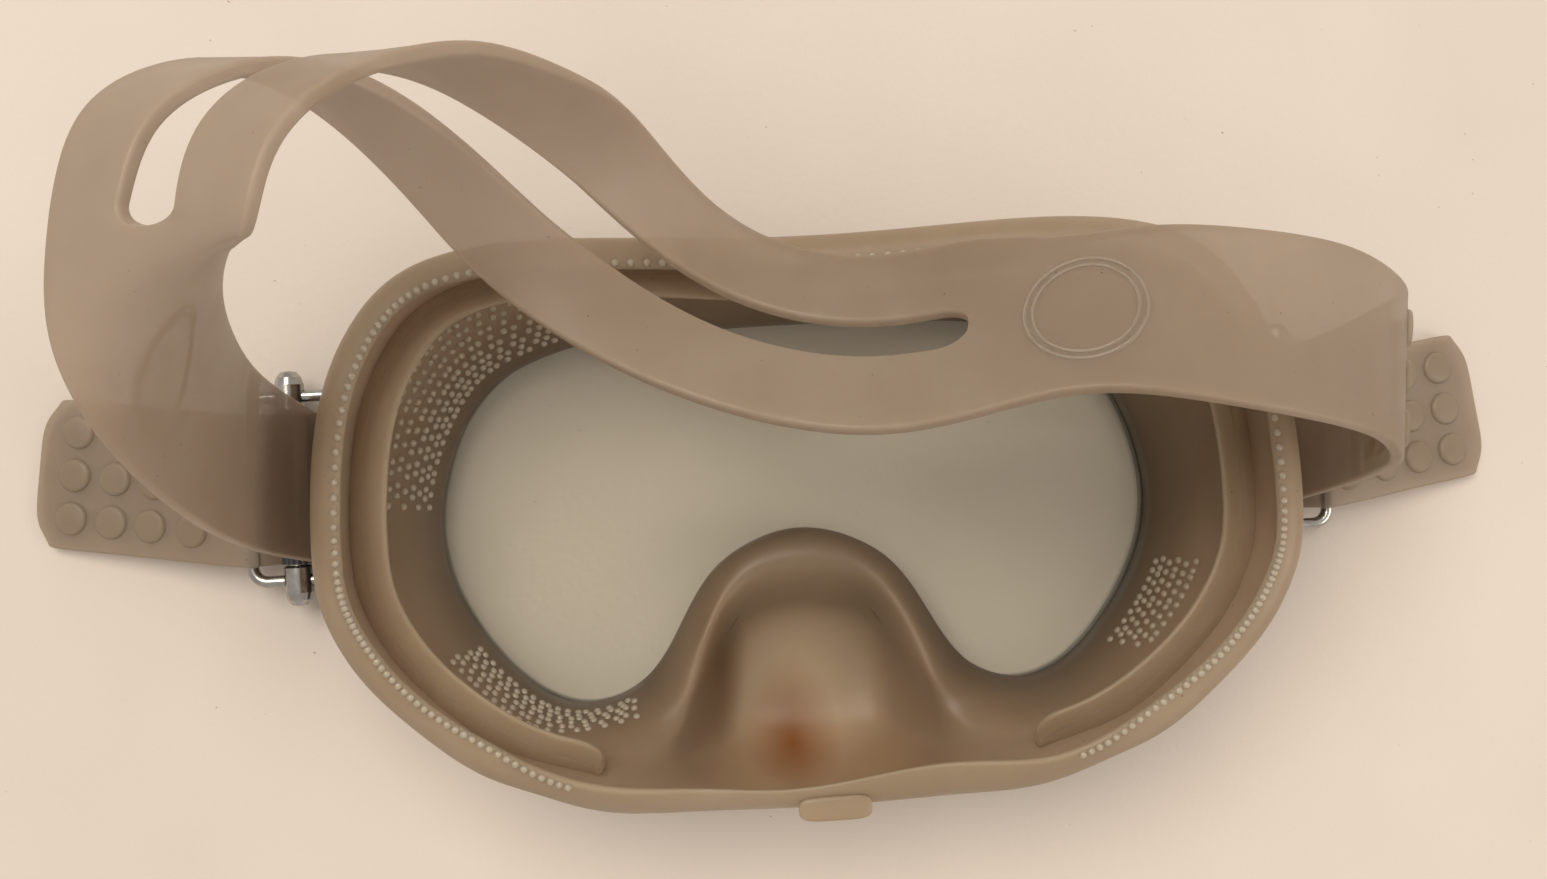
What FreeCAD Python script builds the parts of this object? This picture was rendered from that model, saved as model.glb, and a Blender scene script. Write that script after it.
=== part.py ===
"""Single-lens diving mask with a nose pocket, a split silicone head strap
and a sliding-roller wire buckle on each side.

Millimetres. The mask lies on the flat front face of its frame: +X is the
wearer's left temple, +Y the forehead and +Z points to the wearer's face.
"""
import FreeCAD, Part
import Sketcher
import math
import os

from FreeCAD import Placement, Rotation, Vector

UP = Vector(0, 0, 1)
ALONG_Y = Vector(0, 1, 0)
RIB_COUNT = 14
KNOB_GAP = 0.3
TIP_HEIGHT = 1.6
TAIL_DRIFT = 0.14
ARC_FIT = 0.08

# Driving dimensions: name, value, what it is
SIZES = [
    ("sight_half_width", 67.3, "half width of the clear window"),
    ("sight_top", 35.3, "top of the window above the axis"),
    ("sight_drop", 34.6, "bottom of each lobe below the axis"),
    ("lobe_offset", 42.0, "lowest point of a lobe from the middle"),
    ("notch_drop", 3.6, "top of the nose notch below the axis"),
    ("glass_thickness", 4.0, "tempered glass"),
    ("glass_grip", 4.0, "glass edge held in the groove"),
    ("front_wall", 2.5, "frame flange in front of the glass"),
    ("front_seal", 0.5, "silicone between flange and glass"),
    ("edge_band", 2.0, "silicone round the glass edge"),
    ("back_seal", 2.5, "silicone behind the glass"),
    ("frame_wall", 2.9, "outer wall of the frame"),
    ("frame_depth", 11.0, "depth of the frame"),
    ("frame_bevel", 1.2, "bevel round the front face"),
    ("fit_gap", 0.1, "clearance of seated pieces"),
    ("ring_thickness", 2.5, "depth of the retaining ring"),
    ("ring_gap", 0.5, "clearance of ring and skirt wall"),
    ("skirt_wall", 2.4, "skirt wall at the frame"),
    ("flare_side", 15.2, "sealing flange outside the window at the temples"),
    ("flare_top", 14.2, "sealing flange above the window"),
    ("flare_bottom", 15.4, "sealing flange below the window"),
    ("rim_height", 42.0, "flange height at the forehead"),
    ("temple_rise", 8.0, "extra flange height at the temples"),
    ("lip_rise", 4.0, "extra flange height at the upper lip"),
    ("flange_wall", 1.6, "skirt wall at the flange"),
    ("flange_turn", 5.2, "width of the flange turned inward"),
    ("inner_lip_width", 6.8, "width of the inner sealing lip"),
    ("inner_lip_wall", 1.2, "thickness of the inner sealing lip"),
    ("pocket_wall", 1.8, "wall of the nose pocket"),
    ("pocket_front", 0.6, "front of the nose pocket above the ground"),
    ("buckle_middle", 9.0, "middle of the buckles above the axis"),
    ("lug_reach", 8.2, "bail hinge outside the frame's wall"),
    ("hinge_height", 8.0, "bail hinge above the ground"),
    ("lug_radius", 4.0, "rounded nose of a lug"),
    ("wire_radius", 1.1, "bail wire"),
    ("running_gap", 0.06, "radial clearance of sliding and turning fits"),
    ("leg_margin", 3.1, "bail leg outside the strap's edge"),
    ("bar_gap", 8.4, "bail crossbar outside the roller"),
    ("bail_bend", 2.8, "bend radius of the bail"),
    ("trunnion", 5.0, "length of bail end inside the lug"),
    ("roller_offset", 10.1, "roller outside the hinge"),
    ("shaft_radius", 1.8, "roller shaft"),
    ("knob_radius", 2.7, "end knob of the shaft"),
    ("knob_length", 7.8, "end knob along the shaft"),
    ("sleeve_radius", 2.6, "roller sleeve without its ribs"),
    ("sleeve_rib", 0.3, "ribs of the roller sleeve"),
    ("strap_thickness", 2.2, "strap moulding"),
    ("strap_width", 28.4, "strap, lugs and sleeves at the buckles"),
    ("head_width", 33.8, "strap round the back of the head"),
    ("slot_width", 6.6, "slot between the two head bands"),
    ("left_tail", 49.0, "free strap end past the left roller"),
    ("right_tail", 42.0, "free strap end past the right roller"),
]

doc = FreeCAD.newDocument("diving_mask")
sheet = doc.addObject("Spreadsheet::Sheet", "sizes")
for row, (alias, value, note) in enumerate(SIZES, 1):
    sheet.set(f"A{row}", alias)
    sheet.set(f"B{row}", str(value))
    sheet.setAlias(f"B{row}", alias)
    sheet.set(f"C{row}", note)
doc.recompute()

nodes = []


def size(alias):
    return float(sheet.get(alias))


def node(item, label):
    """Keep one finished sub-part under its own name."""
    item.Label = label
    nodes.append(item)
    return item


def shape_feature(name, shape):
    item = doc.addObject("Part::Feature", name)
    item.Shape = shape
    return item


def mirrored(half):
    """Close a half outline that runs from the top to the bottom."""
    return half + [(-x, y) for x, y in reversed(half[1:-1])]


def offset(points, distance):
    """Move each point of a clockwise closed outline outward."""
    moved = []
    count = len(points)
    for index, (x, y) in enumerate(points):
        before = points[index - 1]
        after = points[(index + 1) % count]
        dx, dy = after[0] - before[0], after[1] - before[1]
        length = math.hypot(dx, dy)
        moved.append((x - dy / length * distance, y + dx / length * distance))
    return moved


def closed_wire(points):
    curve = Part.BSplineCurve()
    curve.interpolate(Points=points, PeriodicFlag=True)
    return Part.Wire([curve.toShape()])


def flat_wire(outline, height):
    """Smooth closed outline made of arcs that run into each other."""
    curve = Part.BSplineCurve()
    curve.interpolate(Points=[Vector(x, y, height) for x, y in outline], PeriodicFlag=True)
    return Part.Wire([arc.toShape() for arc in curve.toBiArcs(ARC_FIT)])


def slab(name, outline, low, thickness):
    """Extruded outline whose thickness is an expression of the sheet."""
    base = shape_feature(name + "_outline", flat_wire(outline, low))
    item = doc.addObject("Part::Extrusion", name)
    item.Base = base
    item.DirMode = "Custom"
    item.Dir = UP
    item.Solid = True
    item.setExpression("LengthFwd", thickness)
    return item


def fuse(name, shapes):
    item = doc.addObject("Part::MultiFuse", name)
    item.Shapes = shapes
    return item


def cut(name, base, tool):
    item = doc.addObject("Part::Cut", name)
    item.Base = base
    item.Tool = tool
    return item


def cylinder(name, radius, height, place):
    item = doc.addObject("Part::Cylinder", name)
    item.setExpression("Radius", radius)
    item.setExpression("Height", height)
    item.Placement = place
    return item


def along_y(x, y, z):
    return Placement(Vector(x, y, z), Rotation(UP, ALONG_Y))


def sight_outline():
    """Window outline: two lobes with a nose notch between them."""
    wide, top, drop = size("sight_half_width"), size("sight_top"), size("sight_drop")
    lobe, notch = size("lobe_offset"), size("notch_drop")
    upper = [(0, 1), (0.30, 0.99), (0.565, 0.955), (0.79, 0.81), (0.90, 0.61), (0.97, 0.325)]
    lower = [(1, -0.03), (0.966, -0.35), (0.89, -0.62), (0.77, -0.88)]
    flank = [(0.74, 0.88), (0.57, 0.577), (0.417, 0.255), (0.214, 0.065), (0, 0)]
    half = [(x * wide, y * top) for x, y in upper]
    half += [(x * wide, y * drop) for x, y in lower]
    half.append((lobe, -drop))
    half += [(x * lobe, -notch - y * (drop - notch)) for x, y in flank]
    return mirrored(half)


def rim_outline():
    """Sealing flange outline seen along the axis, point for point with the window."""
    wide, top, bottom = RIM_HALF_WIDTH, RIM_TOP, RIM_BOTTOM
    upper = [(0, 0.978), (0.267, 0.99), (0.545, 1), (0.776, 0.93), (0.909, 0.727), (0.982, 0.404)]
    lower = [(1, -0.02), (0.976, -0.26), (0.909, -0.46), (0.80, -0.65), (0.655, -0.82),
             (0.497, -0.93), (0.364, -0.97), (0.242, -0.986), (0.121, -0.996), (0, -1)]
    half = [(x * wide, y * top) for x, y in upper]
    half += [(x * wide, y * bottom) for x, y in lower]
    return mirrored(half)


GLASS_FRONT = size("front_wall") + size("front_seal")
GLASS_BACK = GLASS_FRONT + size("glass_thickness")
BEAD_BACK = GLASS_BACK + size("back_seal")
RING_BACK = BEAD_BACK + size("ring_thickness")
WALL_START = RING_BACK + size("ring_gap")
BEAD_REACH = size("glass_grip") + size("edge_band")
SEAT_REACH = BEAD_REACH + size("fit_gap")
FRAME_REACH = SEAT_REACH + size("frame_wall")
RIM_HALF_WIDTH = size("sight_half_width") + size("flare_side")
RIM_TOP = size("sight_top") + size("flare_top")
RIM_BOTTOM = size("sight_drop") + size("flare_bottom")
HINGE_REACH = size("sight_half_width") + FRAME_REACH + size("lug_reach")
ROLLER_REACH = HINGE_REACH + size("roller_offset")
CROSSBAR_REACH = ROLLER_REACH + size("bar_gap")
LEG_SPACING = size("strap_width") / 2 + size("leg_margin")
SLEEVE_HALF = size("strap_width") / 2 - size("fit_gap")
SIGHT = sight_outline()
RIM = rim_outline()


def lug(side):
    """Rounded lug on the frame's temple that takes the bail's two ends."""
    name = "left" if side < 0 else "right"
    length = HINGE_REACH - 0.75 * size("sight_half_width")
    block = doc.addObject("Part::Box", name + "_lug_block")
    block.Length = length
    block.setExpression("Width", "sizes.strap_width")
    block.setExpression("Height", "2 * sizes.lug_radius")
    start = HINGE_REACH - length if side > 0 else -HINGE_REACH
    low_y = size("buckle_middle") - size("strap_width") / 2
    block.Placement.Base = Vector(start, low_y, size("hinge_height") - size("lug_radius"))
    place = along_y(side * HINGE_REACH, low_y, size("hinge_height"))
    nose = cylinder(name + "_lug_nose", "sizes.lug_radius", "sizes.strap_width", place)
    bore = cylinder(name + "_lug_bore", "sizes.wire_radius + sizes.running_gap", "sizes.strap_width", place)
    return [block, nose], bore


def front_frame():
    """Outer frame: bevelled front flange, side wall and two buckle lugs."""
    wall = slab("frame_side", offset(SIGHT, FRAME_REACH), 0, "sizes.frame_depth")
    doc.recompute()
    bevel = doc.addObject("Part::Chamfer", "frame_bevel")
    bevel.Base = wall
    bevel.Edges = [(index, size("frame_bevel"), size("frame_bevel"))
                   for index, edge in enumerate(wall.Shape.Edges, 1) if edge.BoundBox.ZMax < ARC_FIT]
    blocks, bores = [], []
    for side in (-1, 1):
        solids, bore = lug(side)
        blocks += solids
        bores.append(bore)
    seat = slab("frame_seat", offset(SIGHT, SEAT_REACH), size("front_wall"), "2 * sizes.frame_depth")
    window = slab("frame_window", offset(SIGHT, size("fit_gap") * 8), -1, "2 * sizes.frame_depth")
    body = fuse("frame_body", [bevel] + blocks)
    voids = fuse("frame_voids", [seat, window] + bores)
    return node(cut("frame_cut", body, voids), "front_frame")


def lens():
    """One-piece glass with the nose notch."""
    item = slab("glass", offset(SIGHT, size("glass_grip")), GLASS_FRONT, "sizes.glass_thickness")
    return node(item, "lens")


def retaining_ring():
    """Ring pressed in behind the bead of the skirt."""
    outer = slab("ring_outer", offset(SIGHT, BEAD_REACH), BEAD_BACK, "sizes.ring_thickness")
    inner_reach = size("skirt_wall") + size("ring_gap")
    inner = slab("ring_inner", offset(SIGHT, inner_reach), BEAD_BACK - 1, "sizes.ring_thickness + 2")
    return node(cut("ring_cut", outer, inner), "retaining_ring")


def rim_level(x, y):
    """Height of the flange over the ground: lowest at the forehead."""
    across = (x / RIM_HALF_WIDTH) ** 2
    down = max(0.0, min(1.0, 0.5 - y / (2 * RIM_BOTTOM)))
    return size("rim_height") + size("temple_rise") * across + size("lip_rise") * down


def skirt_loop(reach, blend, rise, inset, extra=0.0):
    """Loop of the skirt between the glass edge and the flange.

    reach is the distance outside the window, blend runs from the window's
    outline to the flange's, rise is the share of the height to the flange,
    and inset draws the loop in from the flange.
    """
    start = offset(SIGHT, reach)
    end = offset(RIM, -inset)
    points = []
    for (x0, y0), (x1, y1), (rx, ry) in zip(start, end, RIM):
        height = WALL_START + (rim_level(rx, ry) - WALL_START) * rise + extra
        points.append(Vector(x0 + (x1 - x0) * blend, y0 + (y1 - y0) * blend, height))
    return closed_wire(points)


def skin_solid(loops):
    """Solid inside a ruled skin through closed loops."""
    skin = Part.makeLoft(loops, False, True)
    low = Part.Face(loops[0])
    high = Part.makeFilledFace(loops[-1].Edges)
    return positive(Part.makeSolid(Part.Shell(skin.Faces + [low, high])))


def pocket_outline(points, inset):
    """Nose outline from its bridge to its tip, drawn in by a wall."""
    return offset(mirrored(points), -inset)


def pocket_solid(inset, front, mouth=False):
    """Nose pocket as a body through flat nose outlines.

    Each outline is set from the frame's notch: narrow where it passes
    through the frame and wide above it. The mouth carries it through the
    skirt's wall up to the flange.
    """
    bridge = -size("notch_drop") - FRAME_REACH - size("fit_gap") * 5
    chin = -RIM_BOTTOM
    levels = [
        (front, [(0, bridge - 6), (5.5, bridge - 9.5), (10, bridge - 17), (11.5, chin + 14),
                 (7, chin + 6.5), (0, chin + 5)]),
        (RING_BACK - 0.4, [(0, bridge - 0.5), (6.2, bridge - 4.8), (12.6, bridge - 14), (16.5, chin + 12),
                           (11.5, chin + 2.8), (0, chin + 0.8)]),
        (RING_BACK + 6, [(0, bridge + 3), (8, bridge - 1.5), (17, bridge - 12), (21, chin + 12),
                         (14, chin + 2.5), (0, chin)]),
        (RING_BACK + 18, [(0, bridge - 5), (9, bridge - 9), (18.5, bridge - 18), (21.5, chin + 10.5),
                          (14, chin + 2.5), (0, chin + 0.6)]),
    ]
    if mouth:
        levels.append((rim_level(0, chin), [(0, bridge - 8), (9, bridge - 11), (18, bridge - 18), (20.5, chin + 13),
                                            (14, chin + 6), (0, chin + 4.5)]))
    wires = [closed_wire([Vector(x, y, height) for x, y in pocket_outline(points, inset)])
             for height, points in levels]
    return Part.makeLoft(wires, True, True)


def inner_lip():
    """Thin second sealing lip that leaves the nose free."""
    width, wall = size("inner_lip_width"), size("inner_lip_wall")
    level, blend, seat, upturn = 0.62, 0.84, 1.8, 3.2
    last = len(SIGHT) // 2 - 4
    order = list(range(last, -1, -1)) + list(range(len(SIGHT) - 1, len(SIGHT) - last - 1, -1))
    edges = []
    for inset, lift in ((0, 0), (0, wall), (width, wall + upturn), (width, upturn)):
        points = []
        for index in order:
            (x0, y0), (rx, ry) = SIGHT[index], RIM[index]
            factor = 1 - (seat + inset) / math.hypot(rx, ry)
            height = WALL_START + (rim_level(rx, ry) - WALL_START) * level + lift
            points.append(Vector(x0 + (rx * factor - x0) * blend, y0 + (ry * factor - y0) * blend, height))
        curve = Part.BSplineCurve()
        curve.interpolate(points)
        edges.append(curve.toShape())
    faces = []
    for first, second in zip(edges, edges[1:] + edges[:1]):
        faces += Part.makeRuledSurface(first, second).Faces
    for end in (0, -1):
        corners = [edge.Vertexes[end].Point for edge in edges]
        low = Part.makeLine(corners[0], corners[1])
        high = Part.makeLine(corners[3], corners[2])
        faces += Part.makeRuledSurface(low, high).Faces
    return positive(Part.makeSolid(Part.Shell(faces)))


def positive(solid):
    """Turn an inside-out solid the right way."""
    if solid.Volume < 0:
        solid.reverse()
    return solid


def skirt():
    """Silicone skirt: groove bead, flared wall, turned flange, lip and nose pocket."""
    wall, thin, turn = size("skirt_wall"), size("flange_wall"), size("flange_turn")
    outer = [
        skirt_loop(wall, 0, 0, 0, BEAD_BACK - WALL_START - 1),
        skirt_loop(wall, 0, 0, 0),
        skirt_loop(wall, 0.35, 0.30, 0),
        skirt_loop(wall, 0.86, 0.66, 0),
        skirt_loop(wall, 1, 0.96, 0.3),
        skirt_loop(wall, 1, 1, 2.0),
    ]
    inner = [
        skirt_loop(0, 0, 0, 0, BEAD_BACK - WALL_START - 3),
        skirt_loop(0, 0, 0, 0),
        skirt_loop(0, 0.35, 0.30, thin),
        skirt_loop(0, 0.86, 0.66, thin),
        skirt_loop(0, 1, 0.90, thin + 0.6),
        skirt_loop(0, 1, 0.965, turn),
        skirt_loop(0, 1, 1, turn, 3),
    ]
    body = skin_solid(outer).fuse(pocket_solid(0, size("pocket_front")))
    hollow = skin_solid(inner).fuse(pocket_solid(size("pocket_wall"), size("pocket_front") + 2, True))
    body = body.cut(hollow)
    bead = Part.Face(flat_wire(offset(SIGHT, BEAD_REACH), size("front_wall")))
    bead = bead.extrude(Vector(0, 0, BEAD_BACK - size("front_wall")))
    groove = Part.Face(flat_wire(offset(SIGHT, size("glass_grip")), GLASS_FRONT))
    groove = groove.extrude(Vector(0, 0, size("glass_thickness")))
    window = Part.Face(closed_wire([Vector(x, y, 0) for x, y in SIGHT])).extrude(Vector(0, 0, BEAD_BACK))
    front = Part.Face(flat_wire(offset(SIGHT, size("fit_gap") * 8), 0))
    front = front.extrude(Vector(0, 0, GLASS_FRONT))
    bead = bead.cut(groove).cut(window).cut(front)
    body = body.fuse([bead, inner_lip()])
    return node(shape_feature("skirt_shape", body), "skirt")


def buckle_place(side):
    """The left buckle is the right one turned half round about the mask's axis."""
    if side > 0:
        return Placement()
    return Placement(Vector(0, 2 * size("buckle_middle"), 0), Rotation(UP, 180))


def side_name(side):
    return "left" if side < 0 else "right"


def bail(side):
    """Wire loop whose two ends turn in to form the hinge in the lug."""
    name = side_name(side)
    near, far, bend = HINGE_REACH, CROSSBAR_REACH, size("bail_bend")
    height, middle, leg = size("hinge_height"), size("buckle_middle"), LEG_SPACING
    end = size("strap_width") / 2 - size("trunnion")
    mid_arc = bend * (1 - math.sqrt(0.5))

    def at(x, y):
        return Vector(x, middle + y, height)

    pieces = [
        Part.LineSegment(at(near, -end), at(near, bend - leg)),
        Part.Arc(at(near, bend - leg), at(near + mid_arc, mid_arc - leg), at(near + bend, -leg)),
        Part.LineSegment(at(near + bend, -leg), at(far - bend, -leg)),
        Part.Arc(at(far - bend, -leg), at(far - mid_arc, mid_arc - leg), at(far, bend - leg)),
        Part.LineSegment(at(far, bend - leg), at(far, leg - bend)),
        Part.Arc(at(far, leg - bend), at(far - mid_arc, leg - mid_arc), at(far - bend, leg)),
        Part.LineSegment(at(far - bend, leg), at(near + bend, leg)),
        Part.Arc(at(near + bend, leg), at(near + mid_arc, leg - mid_arc), at(near, leg - bend)),
        Part.LineSegment(at(near, leg - bend), at(near, end)),
    ]
    path = Part.Wire([piece.toShape() for piece in pieces])
    section = Part.Face(Part.Wire([Part.makeCircle(size("wire_radius"), at(near, -end), ALONG_Y)]))
    item = shape_feature(name + "_bail_wire", path.makePipe(section))
    item.Placement = buckle_place(side)
    return node(item, name + "_bail")


def roller_shaft(side):
    """Shaft with a domed knob at each end, cross-drilled for the bail's legs."""
    name = side_name(side)
    reach, middle, height = ROLLER_REACH, size("buckle_middle"), size("hinge_height")
    knob, shaft = size("knob_radius"), size("shaft_radius")
    start = SLEEVE_HALF + KNOB_GAP
    end = start + size("knob_length")
    edge = 0.15 * knob

    def at(radius, along):
        return Vector(reach + radius, middle + along, height)

    pieces = []
    for sign in (1, -1):
        corners = [at(0, sign * end), at(0.55 * knob, sign * (end - 0.12 * knob)),
                   at(0.86 * knob, sign * (end - 0.5 * knob)), at(knob, sign * (end - knob)),
                   at(knob, sign * (start + edge)), at(knob - edge, sign * start), at(shaft, sign * start)]
        for first, second in zip(corners, corners[1:]):
            pieces.append(Part.makeLine(first, second))
    pieces.append(Part.makeLine(at(shaft, start), at(shaft, -start)))
    pieces.append(Part.makeLine(at(0, end), at(0, -end)))
    profile = shape_feature(name + "_shaft_profile", Part.Wire(Part.__sortEdges__(pieces)))
    turned = doc.addObject("Part::Revolution", name + "_shaft_turned")
    turned.Source = profile
    turned.Base = at(0, 0)
    turned.Axis = ALONG_Y
    turned.Angle = 360
    turned.Solid = True
    holes = []
    for sign in (1, -1):
        place = Placement(at(-2 * knob, sign * LEG_SPACING), Rotation(UP, Vector(1, 0, 0)))
        holes.append(cylinder(f"{name}_knob_hole_{len(holes) + 1}", "sizes.wire_radius + sizes.running_gap",
                              "4 * sizes.knob_radius", place))
    item = cut(name + "_shaft_drilled", turned, fuse(name + "_knob_holes", holes))
    item.Placement = buckle_place(side)
    return node(item, name + "_roller_shaft")


def body_plane(body, role):
    for datum in body.Origin.OriginFeatures:
        if datum.Role == role:
            return datum


def round_sketch(body, name, radius, offset_x=None):
    """Circle on the body's base plane with its radius and place in the sheet."""
    sketch = body.newObject("Sketcher::SketchObject", name)
    sketch.AttachmentSupport = (body_plane(body, "XY_Plane"), [""])
    sketch.MapMode = "FlatFace"
    start = 0 if offset_x is None else 2
    index = sketch.addGeometry(Part.Circle(Vector(start, 0, 0), UP, 0.5))
    sketch.addConstraint(Sketcher.Constraint("Radius", index, 0.5))
    sketch.setExpression("Constraints[0]", radius)
    sketch.addConstraint(Sketcher.Constraint("PointOnObject", index, 3, -1))
    if offset_x is None:
        sketch.addConstraint(Sketcher.Constraint("PointOnObject", index, 3, -2))
    else:
        sketch.addConstraint(Sketcher.Constraint("DistanceX", -1, 1, index, 3, 2))
        sketch.setExpression("Constraints[2]", offset_x)
    return sketch


def roller_sleeve(side):
    """Ribbed sleeve that turns on the shaft."""
    name = side_name(side)
    body = doc.addObject("PartDesign::Body", name + "_sleeve_body")
    core = body.newObject("PartDesign::Pad", name + "_sleeve_core")
    core.Profile = round_sketch(body, name + "_sleeve_circle", "sizes.sleeve_radius")
    core.setExpression("Length", "sizes.strap_width - 2 * sizes.fit_gap")
    rib = body.newObject("PartDesign::Pad", name + "_sleeve_rib")
    rib.Profile = round_sketch(body, name + "_rib_circle", "2 * sizes.sleeve_rib",
                               "sizes.sleeve_radius - sizes.sleeve_rib")
    rib.setExpression("Length", "sizes.strap_width - 2 * sizes.fit_gap")
    doc.recompute()
    ribs = body.newObject("PartDesign::PolarPattern", name + "_sleeve_ribs")
    ribs.Originals = [rib]
    ribs.Axis = (body_plane(body, "Z_Axis"), [""])
    ribs.Angle = 360
    ribs.Occurrences = RIB_COUNT
    body.Tip = ribs
    doc.recompute()
    bore = body.newObject("PartDesign::Pocket", name + "_sleeve_bore")
    bore.Profile = round_sketch(body, name + "_bore_circle", "sizes.shaft_radius + sizes.running_gap")
    bore.Type = "ThroughAll"
    bore.Reversed = True
    body.Tip = bore
    low = Vector(ROLLER_REACH, size("buckle_middle") - SLEEVE_HALF, size("hinge_height"))
    body.Placement = buckle_place(side).multiply(Placement(low, Rotation(UP, ALONG_Y)))
    return node(body, name + "_roller_sleeve")


def strap_end(side, tail):
    """Strap from the tip of its free end to the inboard side of the roller.

    Each station is the middle of the strap, its width direction, its width
    and its thickness.
    """
    reach, height, middle = ROLLER_REACH, size("hinge_height"), size("buckle_middle")
    half = size("strap_thickness") / 2
    wide, thick = size("strap_width"), size("strap_thickness")
    wrap = size("sleeve_radius") + size("sleeve_rib") + size("fit_gap") + half
    hook = size("wire_radius") + size("fit_gap") + half
    bar = CROSSBAR_REACH
    climb = math.degrees(math.asin((wrap + hook) / (bar - reach)))
    level_y = Vector(0, 1, 0)
    stations = []
    for degrees in (180, 207, 234, 261, 288, 270 + climb):
        turn = math.radians(degrees)
        middle_point = Vector(side * (reach + wrap * math.cos(turn)), middle, height + wrap * math.sin(turn))
        stations.append((middle_point, level_y, wide, thick))
    for degrees in (90 + climb, 108, 77):
        turn = math.radians(degrees)
        middle_point = Vector(side * (bar + hook * math.cos(turn)), middle, height + hook * math.sin(turn))
        stations.append((middle_point, level_y, wide, thick))
    last = stations[-1][0]
    run = tail - (abs(last.x) - reach)
    tip_height = TIP_HEIGHT
    for share, width, wall in ((0.3, 1, 1), (0.6, 1, 1), (0.87, 1, 1), (0.93, 0.93, 0.9), (0.98, 0.7, 0.75), (1, 0.4, 0.6)):
        drift = TAIL_DRIFT * share * run
        fall = (last.z - tip_height) * (1 - (1 - share) ** 1.3)
        point = Vector(last.x + side * share * run, middle + drift, last.z - fall)
        across = Vector(-side * TAIL_DRIFT, 1, 0).normalize()
        stations.append((point, across, wide * width, thick * wall))
    stations.reverse()
    return stations


# Edges of the strap from the left roller over the mask to the right roller:
# lower edge, upper edge, share of the way from the strap's width to the head width
STRAP_ROUTE = [
    ((-92, -1, 42), (-90, 28, 41), 0),
    ((-93, 5, 69), (-88, 33, 66), 0),
    ((-94, 12, 88), (-84, 38, 86), 0),
    ((-96, 21, 100), (-79, 41, 101), 0),
    ((-98, 31, 105), (-75, 41, 111), 0),
    ((-98, 41, 106), (-71, 41, 118), 0.4),
    ((-97, 51, 105), (-68, 45, 122), 1),
    ((-94, 60, 103), (-65, 52, 121), 1),
    ((-87, 66, 97), (-60, 59, 116), 1),
    ((-78, 68, 88), (-53, 64, 108), 1),
    ((-68, 63, 77), (-44, 67, 97), 1),
    ((-56, 51, 69), (-34, 65, 82), 1),
    ((-42, 36, 67), (-25, 60, 65), 1),
    ((-26, 24, 68), (-14, 51, 54), 1),
    ((-10, 17, 70), (0, 44, 52), 1),
    ((6, 14, 73), (14, 42, 56), 1),
    ((20, 15, 78), (27, 43, 63), 0.7),
    ((34, 18, 83), (39, 42, 69), 0),
    ((47, 18, 86), (51, 42, 74), 0),
    ((61, 15, 85), (65, 41, 76), 0),
    ((74, 12, 81), (78, 39, 74), 0),
    ((85, 9, 74), (88, 36, 68), 0),
    ((92, 5, 63), (96, 33, 59), 0),
    ((96, 3, 49), (99, 31, 47), 0),
    ((96, 0, 32), (97, 28, 31), 0),
]
ROUTE_REACH = 94.6
SLOT_FIRST, SLOT_LAST = 5, 16
SLOT_STEPS = 24


def head_stations():
    """Stations of the strap between the two rollers, which the route follows sideways."""
    narrow, wide = size("strap_width"), size("head_width")
    spread = ROLLER_REACH / ROUTE_REACH
    stations = []
    for lower, upper, share in STRAP_ROUTE:
        low, high = Vector(lower[0] * spread, *lower[1:]), Vector(upper[0] * spread, *upper[1:])
        across = (high - low).normalize()
        width = narrow + (wide - narrow) * share
        stations.append(((low + high) * 0.5, across, width, size("strap_thickness")))
    return stations


def band_edges(stations, widths, walls):
    """Corner lines of a band: four smooth curves through its stations."""
    lines = [[], [], [], []]
    for index, (point, across, _, _) in enumerate(stations):
        before = stations[max(index - 1, 0)][0]
        after = stations[min(index + 1, len(stations) - 1)][0]
        out = (after - before).cross(across).normalize() * (walls[index] / 2)
        reach = across * (widths[index] / 2)
        for line, corner in zip(lines, (point - reach - out, point + reach - out, point + reach + out,
                                        point - reach + out)):
            line.append(corner)
    edges = []
    for line in lines:
        curve = Part.BSplineCurve()
        curve.interpolate(line)
        edges.append(curve.toShape())
    return edges


def band_solid(edges):
    """Solid between four corner lines, closed by a face at each end."""
    faces = []
    for first, second in zip(edges, edges[1:] + edges[:1]):
        faces += Part.makeRuledSurface(first, second).Faces
    for end in (0, -1):
        corners = [edge.Vertexes[end].Point for edge in edges]
        low = Part.makeLine(corners[0], corners[1])
        high = Part.makeLine(corners[3], corners[2])
        faces += Part.makeRuledSurface(low, high).Faces
    return positive(Part.makeSolid(Part.Shell(faces)))


def head_strap():
    """One moulding: two buckle ends, and a head part split by a long slot."""
    head = head_stations()
    left = strap_end(-1, size("left_tail"))
    right = strap_end(1, size("right_tail"))
    right.reverse()
    stations = left + head + right
    body = band_solid(band_edges(stations, [item[2] for item in stations], [item[3] for item in stations]))
    span = head[SLOT_FIRST:SLOT_LAST + 1]
    widths = [size("slot_width")] * len(span)
    widths[0] = widths[-1] = 0.35 * size("slot_width")
    edges = band_edges(span, widths, [3 * size("strap_thickness")] * len(span))
    corners = zip(*[edge.discretize(SLOT_STEPS + 1) for edge in edges])
    sections = [Part.makePolygon(list(corner) + [corner[0]]) for corner in corners]
    slot = Part.makeLoft(sections, True, True)
    return node(shape_feature("strap_shape", body.cut(slot)), "head_strap")


def check_document():
    """Stop if any object failed or any sub-part has a bad shape."""
    for item in doc.Objects:
        if "Invalid" in item.State or "Error" in item.State:
            raise RuntimeError(f"{item.Label} failed: {item.State}")
    for item in nodes:
        if item.Shape.isNull() or not item.Shape.isValid():
            raise RuntimeError(f"{item.Label} has a bad shape")


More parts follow.
